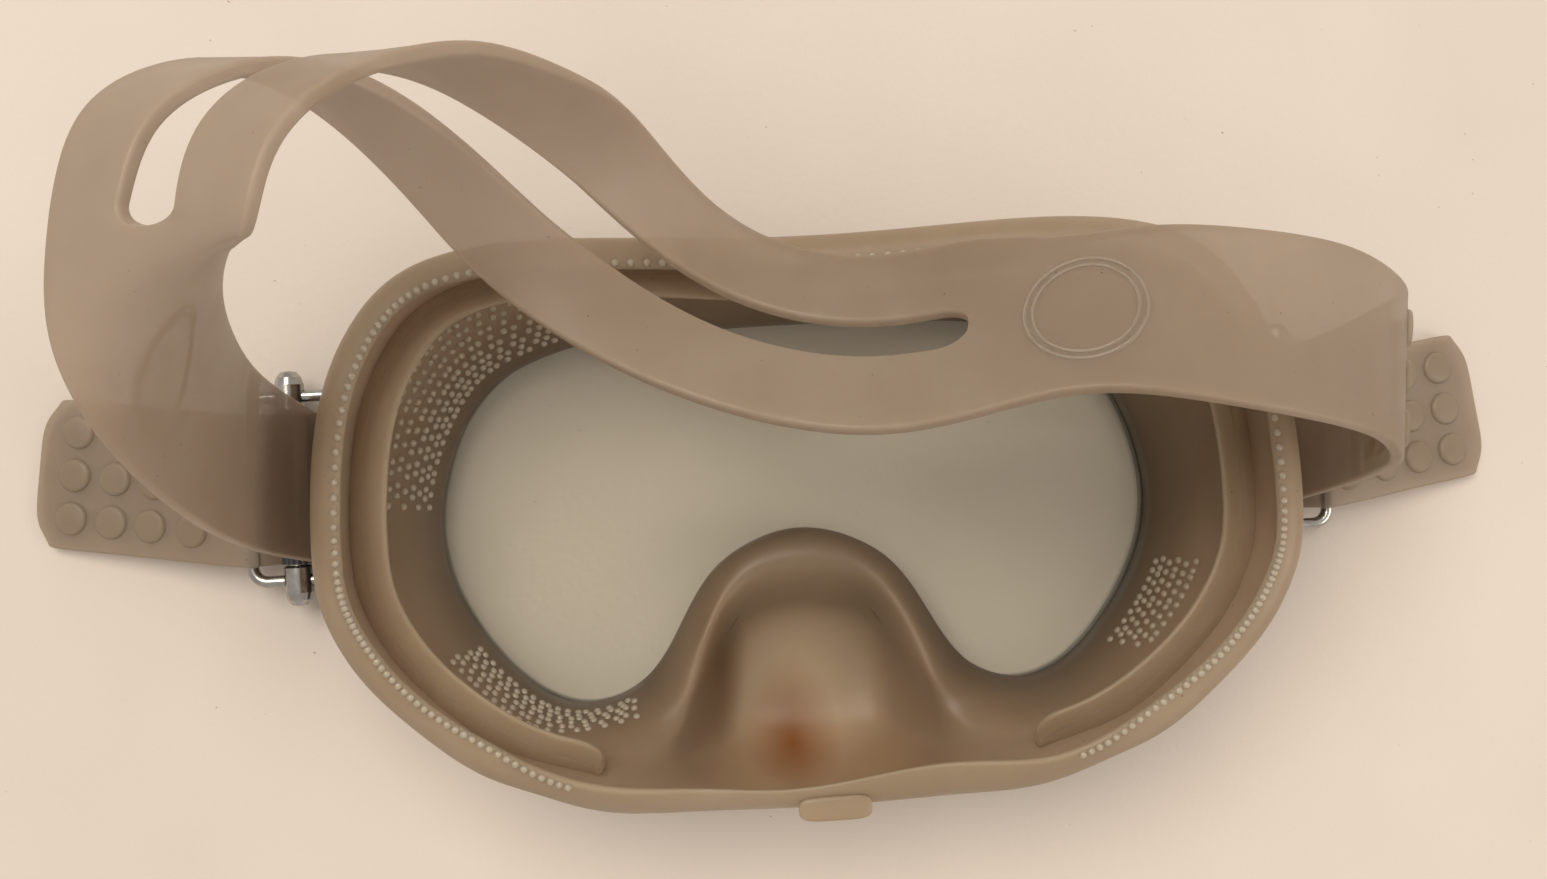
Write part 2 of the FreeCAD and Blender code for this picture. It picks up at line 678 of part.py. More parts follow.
front_frame()
lens()
retaining_ring()
skirt()
head_strap()
for buckle_side in (-1, 1):
    bail(buckle_side)
    roller_shaft(buckle_side)
    roller_sleeve(buckle_side)
doc.recompute()
for item in nodes:
    box = item.Shape.BoundBox
    print(item.Label, item.Shape.isValid(), len(item.Shape.Solids), round(item.Shape.Volume, 1),
          [round(v, 1) for v in (box.XMin, box.XMax, box.YMin, box.YMax, box.ZMin, box.ZMax)])
check_document()
os.makedirs("parts", exist_ok=True)
for item in nodes:
    item.Shape.exportStep(f"parts/{item.Label}.step")
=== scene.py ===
"""Diving mask laid on its front: silicone skirt and head strap round the glass, frame and buckles."""
import math
import bmesh
import bpy
import numpy as np
from mathutils import Matrix, Vector


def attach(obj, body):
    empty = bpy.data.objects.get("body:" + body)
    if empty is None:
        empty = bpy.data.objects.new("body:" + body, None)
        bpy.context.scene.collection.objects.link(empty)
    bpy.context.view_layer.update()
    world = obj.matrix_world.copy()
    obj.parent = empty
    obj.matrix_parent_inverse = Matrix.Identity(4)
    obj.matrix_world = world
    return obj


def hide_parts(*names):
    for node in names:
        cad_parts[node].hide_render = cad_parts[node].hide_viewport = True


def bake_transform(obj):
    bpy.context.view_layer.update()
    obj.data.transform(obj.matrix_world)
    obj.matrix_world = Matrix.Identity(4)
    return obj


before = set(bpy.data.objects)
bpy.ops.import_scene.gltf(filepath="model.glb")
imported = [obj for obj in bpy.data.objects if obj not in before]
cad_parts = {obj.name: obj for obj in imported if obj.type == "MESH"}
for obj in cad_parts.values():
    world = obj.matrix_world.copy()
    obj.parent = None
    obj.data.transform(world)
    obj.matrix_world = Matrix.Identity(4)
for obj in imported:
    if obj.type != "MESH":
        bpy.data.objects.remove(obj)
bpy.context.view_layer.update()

# Sizes in millimetres, the same as in the CAD source.
# The window's half width, its top and its lowest point, then the middle of a lobe and the top of the notch.
SIGHT_HALF, SIGHT_TOP, SIGHT_DROP = 67.3, 35.3, 34.6
LOBE, NOTCH = 42.0, 3.6
# The flange's half width and reach up and down, then its height, which rises at the temples and the lip.
RIM_HALF, RIM_TOP, RIM_BOTTOM = 82.5, 49.5, 50.0
RIM_HEIGHT, TEMPLE_RISE, LIP_RISE = 42.0, 8.0, 4.0
# Heights over the ground of the bead's front, the glass and the bead's back, then the skirt's wall.
BEAD_FRONT, GLASS_FRONT, GLASS_BACK, BEAD_BACK = 2.5, 3.0, 7.0, 9.5
WALL_START, WALL, FLANGE_WALL, FLANGE_TURN = 12.5, 2.4, 1.5, 5.2
# The buckle's roller, crossbar and wire, and the strap.
ROLLER_X, ROLLER_Z, CROSSBAR_X, BUCKLE_Y = 94.6, 8.0, 103.0, 9.0
SLEEVE_RADIUS, SLEEVE_RIB, WIRE_RADIUS, STRAP_GAP = 2.6, 0.3, 1.1, 0.1
STRAP_WIDTH, HEAD_WIDTH, STRAP_THICK, SLOT_WIDTH = 28.4, 33.8, 2.2, 6.6
COLUMNS = 520  # points round the skirt
MM = 0.001


# Curves and surfaces

def closed_curve(points, count):
    """Cyclic cubic spline through the rows of points: its bends solve b[i-1] + 4 b[i] + b[i+1] = 6 times the
    second difference, and each span is the cubic with those bends at its two ends."""
    points = np.asarray(points, float)
    total = len(points)
    eye = np.eye(total)
    system = 4 * eye + np.roll(eye, 1, axis=1) + np.roll(eye, -1, axis=1)
    second = np.roll(points, 1, axis=0) - 2 * points + np.roll(points, -1, axis=0)
    bends = np.linalg.solve(system, 6 * second.reshape(total, -1)).reshape(points.shape)
    place = np.arange(count) * total / count
    low = place.astype(int)
    high = (low + 1) % total
    return cubic_span(points, bends, low, high, place - low)


def open_curve(points, place):
    """Natural cubic spline through the rows of points, read at the places given in row numbers."""
    points = np.asarray(points, float)
    total = len(points)
    system = 4 * np.eye(total) + np.eye(total, k=1) + np.eye(total, k=-1)
    system[0] = system[-1] = 0
    system[0, 0] = system[-1, -1] = 1
    second = np.zeros_like(points)
    second[1:-1] = points[:-2] - 2 * points[1:-1] + points[2:]
    bends = np.linalg.solve(system, 6 * second.reshape(total, -1)).reshape(points.shape)
    place = np.asarray(place, float)
    low = np.clip(place.astype(int), 0, total - 2)
    return cubic_span(points, bends, low, low + 1, place - low)


def cubic_span(points, bends, low, high, share):
    """A cubic between two points with known bends: the straight mix plus (s^3 - s) b / 6 from each end."""
    share = share.reshape(-1, *([1] * (points.ndim - 1)))
    rest = 1 - share
    straight = rest * points[low] + share * points[high]
    return straight + ((rest ** 3 - rest) * bends[low] + (share ** 3 - share) * bends[high]) / 6


def unit(vectors):
    """Vectors divided by their own lengths."""
    return vectors / np.maximum(np.linalg.norm(vectors, axis=-1, keepdims=True), 1e-12)


def sheet_normals(sheet, cyclic=True):
    """Cross product of the differences along the two directions of a sheet of points."""
    if cyclic:
        along = np.roll(sheet, -1, axis=1) - np.roll(sheet, 1, axis=1)
    else:
        along = np.gradient(sheet, axis=1)
    across = np.gradient(sheet, axis=0)
    return unit(np.cross(along, across))


def grid_faces(rows, columns, wrap_rows, wrap_columns):
    """Quads of a grid of rows by columns, joined end to end where it wraps."""
    down = np.arange(rows if wrap_rows else rows - 1)
    over = np.arange(columns if wrap_columns else columns - 1)
    row, column = np.meshgrid(down, over, indexing="ij")
    next_row, next_column = (row + 1) % rows, (column + 1) % columns
    corners = [row * columns + column, row * columns + next_column,
               next_row * columns + next_column, next_row * columns + column]
    return np.stack([corner.ravel() for corner in corners], axis=1)


def make_piece(name, points, faces, material, body="mask", node=None, slot=None, smooth_angle=40):
    """Mesh of points in millimetres, smooth except over edges sharper than the angle."""
    mesh = bpy.data.meshes.new(name)
    mesh.from_pydata((np.asarray(points).reshape(-1, 3) * MM).tolist(), [], [list(face) for face in faces])
    mesh.validate()
    mesh.polygons.foreach_set("use_smooth", np.ones(len(mesh.polygons), bool))
    mesh.set_sharp_from_angle(angle=math.radians(smooth_angle))
    mesh.materials.append(material)
    piece = bpy.data.objects.new(name, mesh)
    bpy.context.scene.collection.objects.link(piece)
    if body:
        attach(piece, body)
    if node:
        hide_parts(node)
    return piece


# Finishes

class Finish:
    """A node material under construction, with its Principled shader and Object coordinates."""

    def __init__(self, name):
        self.material = bpy.data.materials.new(name)
        self.material.use_nodes = True
        self.nodes = self.material.node_tree.nodes
        self.links = self.material.node_tree.links
        self.shader = self.nodes["Principled BSDF"]
        self.place = self.nodes.new("ShaderNodeTexCoord").outputs["Object"]

    def set(self, **values):
        """Numbers and colours on the shader's own sockets, named with underscores."""
        for name, value in values.items():
            self.shader.inputs[name.replace("_", " ")].default_value = value
        return self

    def noise(self, scale, detail=3.0, roughness=0.5, distortion=0.0):
        """Cloudy pattern, with the scale in patches to the metre."""
        node = self.nodes.new("ShaderNodeTexNoise")
        node.inputs["Scale"].default_value = scale
        node.inputs["Detail"].default_value = detail
        node.inputs["Roughness"].default_value = roughness
        node.inputs["Distortion"].default_value = distortion
        self.links.new(self.place, node.inputs["Vector"])
        return node.outputs["Fac"]

    def ramp(self, value, *stops):
        """Colours that a value from 0 to 1 runs through, each with the place where it is reached."""
        node = self.nodes.new("ShaderNodeValToRGB")
        elements = node.color_ramp.elements
        while len(elements) < len(stops):
            elements.new(0.5)
        for element, (at, colour) in zip(elements, stops):
            element.position = at
            element.color = (*colour, 1) if len(colour) == 3 else colour
        self.links.new(value, node.inputs["Fac"])
        return node.outputs["Color"]

    def height_share(self, low, high):
        """0 at the low and 1 at the high height over the ground, in metres."""
        split = self.nodes.new("ShaderNodeSeparateXYZ")
        self.links.new(self.place, split.inputs[0])
        node = self.nodes.new("ShaderNodeMapRange")
        node.inputs["From Min"].default_value = low
        node.inputs["From Max"].default_value = high
        self.links.new(split.outputs["Z"], node.inputs["Value"])
        return node.outputs["Result"]

    def spot(self, centre, radii):
        """1 at the centre of an ellipsoid, falling to 0 at its surface, in metres."""
        move = self.nodes.new("ShaderNodeMapping")
        move.vector_type = "TEXTURE"
        move.inputs["Location"].default_value = centre
        move.inputs["Scale"].default_value = radii
        self.links.new(self.place, move.inputs["Vector"])
        ball = self.nodes.new("ShaderNodeTexGradient")
        ball.gradient_type = "SPHERICAL"
        self.links.new(move.outputs["Vector"], ball.inputs["Vector"])
        return ball.outputs["Fac"]

    def mix(self, factor, first, second, how="MIX"):
        """First colour turned towards the second by the factor."""
        node = self.nodes.new("ShaderNodeMix")
        node.data_type = "RGBA"
        node.blend_type = how
        for socket, value in ((node.inputs[0], factor), (node.inputs[6], first), (node.inputs[7], second)):
            if isinstance(value, bpy.types.NodeSocket):
                self.links.new(value, socket)
            elif isinstance(value, (int, float)):
                socket.default_value = value
            else:
                socket.default_value = (*value, 1)
        return node.outputs[2]

    def colour(self, source):
        self.links.new(source, self.shader.inputs["Base Color"])
        return self

    def roughness(self, source):
        self.links.new(source, self.shader.inputs["Roughness"])
        return self

    def bump(self, height, strength, distance):
        """Fine grain of the surface, with its depth in metres."""
        node = self.nodes.new("ShaderNodeBump")
        node.inputs["Strength"].default_value = strength
        node.inputs["Distance"].default_value = distance
        self.links.new(height, node.inputs["Height"])
        self.links.new(node.outputs["Normal"], self.shader.inputs["Normal"])
        return self


def aged_silicone(name, young, aged, see_through, cover):
    """Yellowed translucent silicone: clouded colour, specks of dust and a faint moulded grain."""
    finish = Finish(name).set(Transmission_Weight=see_through, IOR=1.41, Subsurface_Weight=0.6, Alpha=cover)
    finish.set(Subsurface_Radius=(1.0, 0.75, 0.5), Subsurface_Scale=0.005)
    cloud = finish.ramp(finish.noise(22, 4, 0.6, 0.4), (0.3, young), (0.72, aged))
    dust = finish.ramp(finish.noise(900, 2, 0.7), (0.735, (1, 1, 1)), (0.77, (0.25, 0.2, 0.16)))
    finish.colour(finish.mix(0.8, cloud, dust, "MULTIPLY"))
    finish.roughness(finish.ramp(finish.noise(60), (0.3, (0.34,) * 3), (0.7, (0.5,) * 3)))
    finish.bump(finish.noise(1500, 2), 0.12, 0.00008)
    return finish


def skirt_silicone():
    """Painted shade darkens the skirt close to the frame and it stays pale at the flange; painted light makes the
    middle of the nose pocket lighter, and a brown stain lies low in the nose pocket.
    """
    finish = aged_silicone("skirt_silicone", (0.47, 0.37, 0.265), (0.38, 0.285, 0.185), 0.25, 0.86)
    base = finish.shader.inputs["Base Color"].links[0].from_socket
    # Painted shade: the colour darkens with falling height, towards the frame, where the inner walls lie in shade.
    deep = finish.ramp(finish.height_share(0.008, 0.045), (0.0, (0.34, 0.31, 0.29)), (0.22, (0.60, 0.56, 0.52)),
                       (0.5, (0.84, 0.80, 0.76)), (0.85, (1, 1, 1)))
    shade_darkened_walls = finish.mix(1.0, base, deep, "MULTIPLY")
    # Painted light: a lighter tan in the middle of the nose pocket stands in for light shining through the silicone
    # from behind.
    pocket = finish.mix(finish.spot((-0.001, -0.033, 0.006), (0.03, 0.034, 0.03)), shade_darkened_walls, (0.68, 0.51, 0.35))
    blotch = finish.mix(finish.spot((-0.0165, -0.028, 0.012), (0.006, 0.016, 0.02)), pocket, (0.22, 0.135, 0.065))
    stain = finish.mix(finish.spot((-0.0034, -0.0445, 0.008), (0.0095, 0.017, 0.024)), blotch, (0.25, 0.09, 0.016))
    finish.colour(stain)
    return finish.material


def dot_silicone():
    """Polished dots that catch the light on the duller wall, with a colour made lighter than the wall's as painted
    highlight.
    """
    return aged_silicone("dot_silicone", (0.60, 0.485, 0.36), (0.50, 0.395, 0.28), 0.2, 0.9).set(
        Coat_Weight=0.6, Coat_Roughness=0.15).material


def strap_silicone():
    """Thinner and clearer than the skirt."""
    return aged_silicone("strap_silicone", (0.43, 0.345, 0.265), (0.36, 0.275, 0.195), 0.3, 0.72).material


def black_plastic(name, colour, grain):
    """Satin black plastic with grey wear and a fine grain."""
    finish = Finish(name).set(IOR=1.5)
    finish.colour(finish.ramp(finish.noise(30), (0.3, colour), (0.75, tuple(1.6 * part for part in colour))))
    finish.roughness(finish.ramp(finish.noise(80), (0.3, (0.3,) * 3), (0.7, (0.46,) * 3)))
    finish.bump(finish.noise(grain, 2), 0.1, 0.00005)
    return finish.material


def window_glass():
    """Clear tempered glass with a faint green tint and a film of haze."""
    finish = Finish("window_glass").set(Transmission_Weight=1.0, IOR=1.5, Alpha=0.35)
    finish.colour(finish.ramp(finish.noise(16), (0.3, (0.86, 0.90, 0.76)), (0.7, (0.90, 0.93, 0.80))))
    finish.roughness(finish.ramp(finish.noise(40), (0.3, (0.0,) * 3), (0.75, (0.03,) * 3)))
    return finish.material


def worn_chrome(name):
    """Chrome with dull patches."""
    finish = Finish(name).set(Metallic=1.0)
    finish.colour(finish.ramp(finish.noise(260, 4, 0.6), (0.35, (0.55, 0.54, 0.53)), (0.7, (0.30, 0.28, 0.25))))
    finish.roughness(finish.ramp(finish.noise(400, 3), (0.3, (0.12,) * 3), (0.75, (0.34,) * 3)))
    return finish.material


SKIRT_SILICONE = skirt_silicone()
HIGHLIGHT_DOT_SILICONE = dot_silicone()
STRAP_SILICONE = strap_silicone()
NODE_FINISH = {
    "front_frame": black_plastic("frame_plastic", (0.012, 0.011, 0.011), 1400),
    "retaining_ring": black_plastic("ring_plastic", (0.016, 0.014, 0.012), 1100),
    "lens": window_glass(),
    "bail": worn_chrome("bail_wire"),
    "roller_shaft": worn_chrome("shaft_chrome"),
    "roller_sleeve": black_plastic("sleeve_plastic", (0.02, 0.02, 0.021), 1800),
}
for name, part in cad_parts.items():
    key = name.replace("left_", "").replace("right_", "")
    for slot in part.material_slots:
        if key in NODE_FINISH:
            slot.material = NODE_FINISH[key]


# Skirt

def mirrored(half):
    """A half outline from top to bottom and its mirror image, as one closed outline."""
    half = np.array(half, float)
    back = half[-2:0:-1] * np.array([-1] + [1] * (half.shape[1] - 1))
    return np.vstack([half, back])


def window_outline():
    """Edge of the glass opening from the top down: brow, lobe and the flank of the nose notch."""
    upper = [(0, 1), (0.30, 0.99), (0.565, 0.955), (0.79, 0.81), (0.90, 0.61), (0.97, 0.325)]
    lower = [(1, -0.03), (0.966, -0.35), (0.89, -0.62), (0.77, -0.88)]
    flank = [(1, 1), (0.74, 0.88), (0.57, 0.577), (0.417, 0.255), (0.214, 0.065), (0, 0)]
    half = [(x * SIGHT_HALF, y * SIGHT_TOP) for x, y in upper]
    half += [(x * SIGHT_HALF, y * SIGHT_DROP) for x, y in lower]
    half += [(x * LOBE, -NOTCH - y * (SIGHT_DROP - NOTCH)) for x, y in flank]
    return mirrored(half)


def flange_outline():
    """Outermost line of the flange, in shares of its half width and its reach up and down."""
    upper = [(0, 0.978), (0.267, 0.99), (0.545, 1), (0.776, 0.93), (0.909, 0.727), (0.982, 0.404)]
    lower = [(1, -0.02), (0.976, -0.26), (0.909, -0.46), (0.80, -0.65), (0.655, -0.82),
             (0.497, -0.93), (0.364, -0.97), (0.242, -0.986), (0.121, -0.996), (0, -1)]
    half = [(x * RIM_HALF, y * RIM_TOP) for x, y in upper] + [(x * RIM_HALF, y * RIM_BOTTOM) for x, y in lower]
    return mirrored(half)


def outward(outline, distance):
    """Outline moved square to itself, away from its middle."""
    along = np.roll(outline, -1, axis=0) - np.roll(outline, 1, axis=0)
    return outline + unit(np.stack([-along[:, 1], along[:, 0]], axis=1)) * distance


SIGHT = window_outline()
RIM = flange_outline()
# The upper lip's edge waves a little up on the right of the nose and down on the left.
RIM[12:17, 1] += (0.9, 1.7, 1.1, 0, -0.4)
ACROSS = (RIM[:, 0] / RIM_HALF) ** 2
DOWN = np.clip(0.5 - RIM[:, 1] / (2 * RIM_BOTTOM), 0, 1)
RIM_LEVEL = RIM_HEIGHT + TEMPLE_RISE * ACROSS + LIP_RISE * DOWN


def skirt_row(blend, rise, inset, lift=0.0):
    """Row of the skirt: its outline runs from the window's to the flange's, drawn in by the inset."""
    flat = SIGHT + (outward(RIM, -inset) - SIGHT) * blend
    height = WALL_START + (RIM_LEVEL - WALL_START) * rise + lift
    return np.column_stack([flat, height])


# Columns of the skirt at the nose, from the middle out: over the ridge, down the front of the pocket and up
# to the upper lip. Each is a list of places (x, y, height).
NOSE_COLUMNS = {
    15: [(0, -3.6, 9.5), (0, -3.6, 12.5), (0, -6.2, 15.5), (0, -10.5, 15.8), (0, -14.5, 12.5), (0, -18, 7.5),
         (0, -24, 4), (0, -38, 3.6), (0, -46, 10.5), (0, -48.2, 28), (0, -48.4, 41)],
    14: [(9, -5.6, 9.5), (9, -5.6, 12.5), (9.6, -8.2, 15.5), (10.2, -12.4, 16), (10.6, -16.3, 13), (10.8, -20, 8.2),
         (11, -26, 4.4), (11, -38.5, 4), (10.6, -45.6, 10.8), (10.4, -47.9, 28), (10, -48.2, 41)],
    13: [(17.5, -11.5, 9.5), (17.5, -11.5, 12.5), (17.2, -14.6, 16), (17, -18.4, 18), (16.6, -21.8, 16.5),
         (16.4, -25.5, 13), (16.5, -30.5, 9.5), (16.8, -38.8, 8.5), (17.4, -44.3, 13.5), (18.8, -47, 28),
         (20, -47.7, 41)],
    12: [(23.9, -21.5, 9.5), (23.9, -21.5, 12.5), (23.3, -24, 16), (22.6, -26.4, 19), (21.8, -28.6, 20.5),
         (21.4, -31, 20.5), (21.6, -34, 19.5), (22.4, -38.5, 19.5), (24, -43, 22), (27, -45.6, 31), (29, -47, 41.5)],
    11: [(31, -30.9, 9.5), (31, -30.9, 12.5), (30.9, -32.2, 15.8), (30.8, -33.4, 18.2), (30, -34.8, 20.5),
         (29.4, -36.4, 22.2), (29.6, -38.4, 23.8), (31.4, -40.6, 26.3), (34.6, -42.6, 30.5), (38.4, -44.2, 38),
         (40, -45, 43)],
}
MIDDLE_COLUMN = 15
ROW_OF_FLANGE = 9


def nose_columns(rows):
    """The nose columns and their mirror images put in place of the plain wall."""
    for column, points in NOSE_COLUMNS.items():
        for row, (x, y, height) in enumerate(points):
            rows[row][2 * MIDDLE_COLUMN - column] = (-x, y, height)
            rows[row][column] = (x, y, height)
    return rows


def skirt_rows():
    """Inner face of the skirt from the glass edge to the turned edge of the flange."""
    thin = FLANGE_WALL
    steps = [(0, 0, 0), (0.09, 0.09, 0), (0.20, 0.19, 0), (0.36, 0.30, 0.4), (0.53, 0.41, 0.8), (0.69, 0.53, thin),
             (0.83, 0.65, thin), (0.94, 0.78, thin), (0.995, 0.90, thin + 0.2), (1, 0.955, thin + 1.7)]
    rows = [skirt_row(0, 0, 0, BEAD_BACK - WALL_START)] + [skirt_row(*step) for step in steps]
    rows = nose_columns(rows)
    rows.append(skirt_row(1, 0.965, FLANGE_TURN))
    return np.array(rows)


def skirt_walls():
    """Dense inner face and, one wall thickness behind it, the outer face. The wall thins out towards the flange and
    is half as thick at the nose."""
    control = skirt_rows()
    place = np.concatenate([np.linspace(0, ROW_OF_FLANGE, 64), np.linspace(ROW_OF_FLANGE, len(control) - 1, 20)[1:]])
    columns = np.stack([closed_curve(row, COLUMNS) for row in control])
    inner = open_curve(columns, place)
    normal = sheet_normals(inner)
    share = np.clip(place / ROW_OF_FLANGE, 0, 1)[:, None, None]
    thickness = WALL + (FLANGE_WALL - WALL) * share ** 0.6
    from_nose = np.abs(np.arange(COLUMNS) / COLUMNS - 0.5)[None, :, None]
    thickness = thickness * (1 - 0.5 * np.exp(-(from_nose / 0.09) ** 4))
    outer = inner - normal * thickness
    return inner, outer, normal


def skirt():
    """The skirt as one closed skin: inner face, rounded edge, outer face and the bead that grips the glass."""
    inner, outer, normal = skirt_walls()
    middle = (inner[-1] + outer[-1]) / 2
    tip = unit(inner[-1] - inner[-2])
    swing = (outer[-1] - inner[-1]) / 2
    reach = np.linalg.norm(swing, axis=1, keepdims=True)
    edge = [middle - swing * math.cos(turn) + tip * reach * math.sin(turn) for turn in np.linspace(0, math.pi, 8)[1:-1]]
    smooth_sight = closed_curve(SIGHT, COLUMNS)
    section = [(2.4, BEAD_BACK), (6, BEAD_BACK), (6, BEAD_FRONT), (0.8, BEAD_FRONT), (0.8, GLASS_FRONT),
               (4, GLASS_FRONT), (4, GLASS_BACK), (0, GLASS_BACK)]
    bead = [np.column_stack([outward(smooth_sight, reach), np.full(COLUMNS, height)]) for reach, height in section]
    skin = np.concatenate([inner, edge, outer[::-1], bead])
    faces = grid_faces(len(skin), COLUMNS, True, True)
    make_piece("skirt_body", skin, faces, SKIRT_SILICONE, node="skirt", slot="skirt_silicone")
    return inner, normal


LIP_WIDTH, LIP_WALL = 6.6, 1.1


def inner_lip():
    """Second sealing lip: a thin band that leans inward from the wall, rounded off beside the nose. It is a straight
    mix from root to free edge plus a low arch, with half a wall to each side and a half-round tip."""
    last = min(NOSE_COLUMNS)
    order = list(range(last, -1, -1)) + list(range(len(RIM) - 1, len(RIM) - 1 - last, -1))
    ends = np.linspace(0, len(order) - 1, 420)
    from_end = np.minimum(ends, ends[::-1])
    spread = np.sqrt(np.clip(1 - (1 - np.clip(from_end / 0.75, 0, 1)) ** 2, 0.02, 1))
    root = skirt_row(0.81, 0.60, 1.2)[order]
    free = skirt_row(0.84, 0.62, 1.8, 3.4)[order]
    toward = unit(np.column_stack([-RIM[order], np.zeros(len(order))]))
    root, free, toward = (open_curve(item, ends) for item in (root, free, toward))
    free = free + toward * LIP_WIDTH
    steps = np.linspace(0, 1, 12)[:, None, None]
    arch = np.sin(np.pi * steps) * np.array([0, 0, 0.9])
    under = root + (free - root) * steps * spread[None, :, None] + arch
    normal = sheet_normals(under, cyclic=False)
    normal = normal * np.sign(normal[:, :, 2:3])
    half_wall = LIP_WALL / 2
    turns = np.linspace(0, np.pi, 7)[1:-1]
    tip = unit(under[-1] - under[-2])
    edge = [under[-1] - normal[-1] * half_wall * np.cos(turn) + tip * half_wall * np.sin(turn) for turn in turns]
    skin = np.concatenate([under - normal * half_wall, edge, (under + normal * half_wall)[::-1]])
    faces = list(map(tuple, grid_faces(len(skin), skin.shape[1], True, False)))
    size = skin.shape[1]
    faces.append(tuple(np.arange(len(skin)) * size))
    faces.append(tuple((np.arange(len(skin)) * size + size - 1)[::-1]))
    return make_piece("skirt_inner_lip", skin, faces, SKIRT_SILICONE, node="skirt", slot="skirt_silicone")


# Radius and height of each ring of a boss, in shares of the whole
DOME = ((1.0, -0.3), (0.8, 0.6), (0.45, 0.9))
STUD = ((1.0, -0.1), (0.97, 0.45), (0.88, 0.85), (0.72, 1.0))


def domes(name, centres, normals, radius, height, material, profile=DOME, sides=10, **links):
    """Low round bosses: rings of points whose radius and height follow the profile, closed by a point on top."""
    turns = np.arange(sides) * 2 * np.pi / sides
    side = unit(np.cross(normals, np.array([0.31, 0.17, 0.93])))
    other = np.cross(normals, side)
    rings = []
    for share, rise in profile:
        lift = rise * height
        ring = centres[:, None] + radius * share * (np.cos(turns)[None, :, None] * side[:, None]
                                                    + np.sin(turns)[None, :, None] * other[:, None])
        rings.append(ring + normals[:, None] * lift)
    points = np.concatenate(rings + [(centres + normals * height)[:, None]], axis=1)
    levels = len(profile)
    around = np.arange(sides)
    pattern = list(map(tuple, grid_faces(levels, sides, False, True)))
    top = (levels - 1) * sides
    pattern += [(top + i, top + (i + 1) % sides, levels * sides) for i in around] + [tuple(around[::-1])]
    size = levels * sides + 1
    faces = [tuple(np.array(face) + size * index) for index in range(len(centres)) for face in pattern]
    return make_piece(name, points, faces, material, smooth_angle=60, **links)


DOT_STRETCHES = [(0.815, 0.94, 14, 36), (0.64, 0.735, 13, 30), (0.235, 0.29, 15, 32)]
DOTS_ROUND, DOT_RADIUS, DOT_HEIGHT = 200, 0.72, 0.5


def grip_texture(inner, normal):
    """Raised dots inside the wall, in staggered rows over the stretches beside the window, and along the flange's
    edge. A stretch runs between two shares of the way round and two rows of the wall."""
    centres, directions = [], []
    for start, end, low, high in DOT_STRETCHES:
        for row in range(low, high, 3):
            count = int((end - start) * DOTS_ROUND)
            columns = (start + (np.arange(count) + 0.5 * (row % 2)) / count * (end - start)) * COLUMNS
            columns = columns.astype(int) % COLUMNS
            centres.append(inner[row, columns])
            directions.append(normal[row, columns])
    columns = np.arange(0, COLUMNS, 2)
    columns = columns[np.abs(columns / COLUMNS - 0.5) > 0.14]
    centres.append(inner[-2, columns] - normal[-2, columns] * FLANGE_WALL)
    directions.append(-normal[-2, columns])
    return domes("skirt_grip_dots", np.concatenate(centres), np.concatenate(directions), DOT_RADIUS, DOT_HEIGHT,
                 HIGHLIGHT_DOT_SILICONE, node="skirt", slot="skirt_silicone")


def squared(value):
    """Square root that keeps the sign, which turns a circle into a rounded square."""
    return np.sign(value) * np.abs(value) ** 0.5


def gate_tab():
    """Small tab left by the mould on the lower edge: a ball's two angles with squared cosines and sines."""
    middle, reach, sides = (1.3, -48.7, 44.5), (6.2, 2.1, 0.9), 32
    turns, tilts = np.arange(sides) * 2 * np.pi / sides, np.linspace(-np.pi / 2, np.pi / 2, 13)[1:-1]
    flat = squared(np.cos(tilts))[:, None]
    rise = squared(np.sin(tilts))[:, None] * np.ones(sides)
    ball = (flat * squared(np.cos(turns)), flat * squared(np.sin(turns)), rise)
    points = np.stack([start + far * axis for start, far, axis in zip(middle, reach, ball)], axis=-1)
    faces = list(map(tuple, grid_faces(len(tilts), sides, False, True)))
    faces += [tuple(np.arange(sides)[::-1]), tuple(np.arange(sides) + sides * (len(tilts) - 1))]
    return make_piece("skirt_gate_tab", points, faces, SKIRT_SILICONE, node="skirt", slot="skirt_silicone")


grip_face = skirt()
gate_tab()
inner_lip()
grip_texture(*grip_face)


# Head strap

# Lower edge, upper edge and share of the head width, from the left roller over the mask to the right one
STRAP_ROUTE = [
    ((-92, -1, 42), (-90, 28, 41), 0), ((-93, 5, 69), (-88, 33, 66), 0), ((-94, 12, 88), (-84, 38, 86), 0),
    ((-96, 21, 100), (-79, 41, 101), 0), ((-98, 31, 105), (-75, 41, 111), 0), ((-98, 41, 106), (-71, 41, 118), 0.4),
    ((-97, 51, 105), (-68, 45, 122), 1), ((-94, 60, 103), (-65, 52, 121), 1), ((-87, 66, 97), (-60, 59, 116), 1),
    ((-78, 68, 88), (-53, 64, 108), 1), ((-68, 63, 77), (-44, 67, 97), 1), ((-56, 51, 69), (-34, 65, 82), 1),
    ((-42, 36, 67), (-25, 60, 65), 1), ((-26, 24, 68), (-14, 51, 54), 1), ((-10, 17, 70), (0, 44, 52), 1),
    ((6, 14, 73), (14, 42, 56), 1), ((20, 15, 78), (27, 43, 63), 0.7), ((34, 18, 83), (39, 42, 69), 0),
    ((47, 18, 86), (51, 42, 74), 0), ((61, 15, 85), (65, 41, 76), 0), ((74, 12, 81), (78, 39, 74), 0),
    ((85, 9, 74), (88, 36, 68), 0), ((92, 5, 63), (96, 33, 59), 0), ((96, 3, 49), (99, 31, 47), 0),
    ((96, 0, 32), (97, 28, 31), 0),
]
SLOT_FIRST, SLOT_LAST, SLOT_END = 5.4, 16, 0.35
